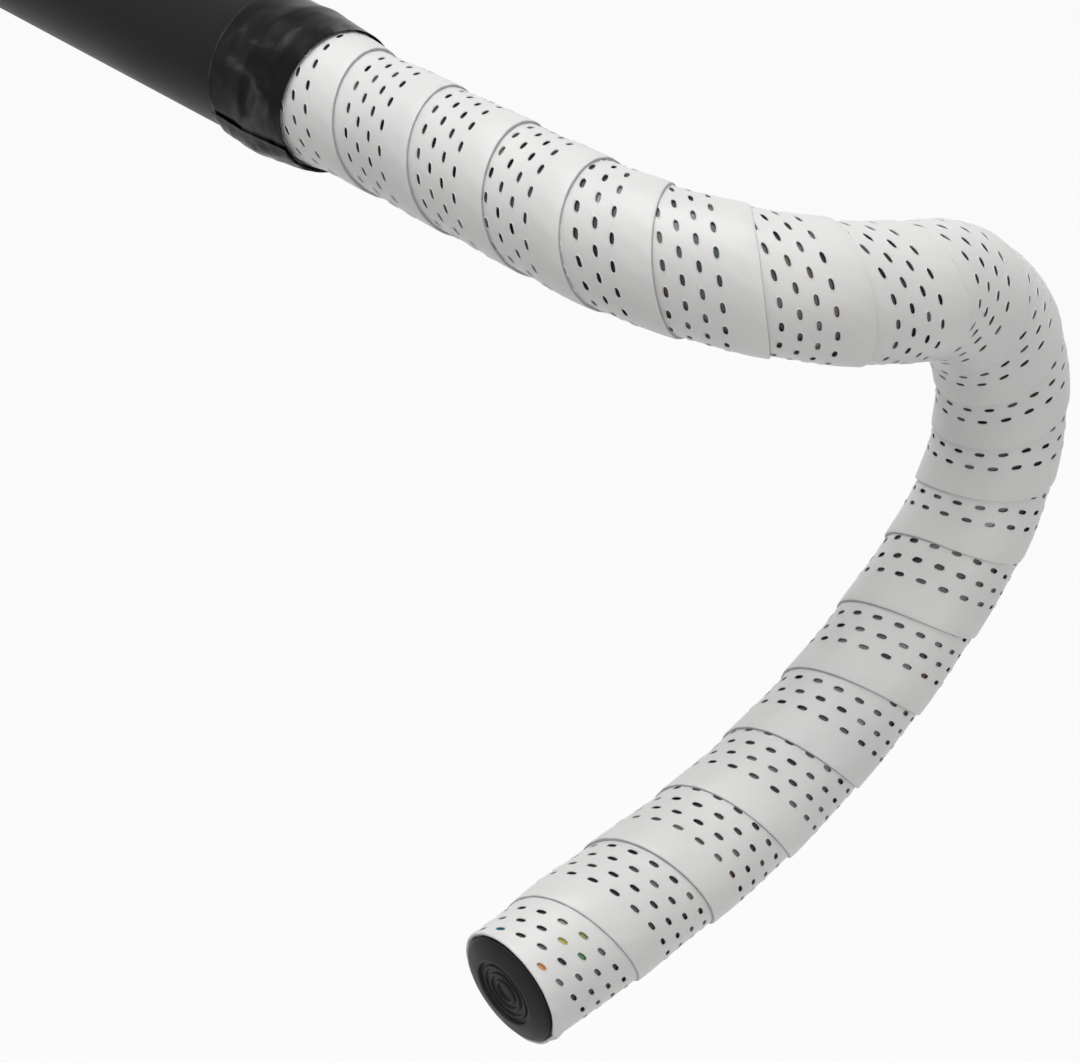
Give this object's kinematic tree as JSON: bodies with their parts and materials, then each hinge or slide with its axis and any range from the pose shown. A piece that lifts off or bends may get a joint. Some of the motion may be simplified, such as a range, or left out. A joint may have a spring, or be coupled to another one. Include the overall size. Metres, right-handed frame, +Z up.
{
  "type": "drop handlebar half with wound handlebar tape",
  "caption": "One side of a black drop handlebar wound with white perforated tape, with a glossy black finishing strip at the top and a domed plug in the bar end.",
  "frame": {"origin": "on the bar's axis at the middle of the whole handlebar, where the stem clamps it", "axes": "+X outboard along the tops, +Y forward in the riding direction, +Z up"},
  "size_m": [0.2668, 0.1448, 0.1628],
  "materials": {
    "bar_black": "satin black anodised",
    "tape_white": "satin white synthetic leather with small perforations",
    "strip_black": "glossy black adhesive film",
    "plug_charcoal": "satin charcoal moulded plastic"
  },
  "bodies": {
    "root": {"handlebar": "bar_black", "bar_tape": "tape_white", "finishing_strip": "strip_black", "end_plug": "plug_charcoal"}
  },
  "joints": []
}
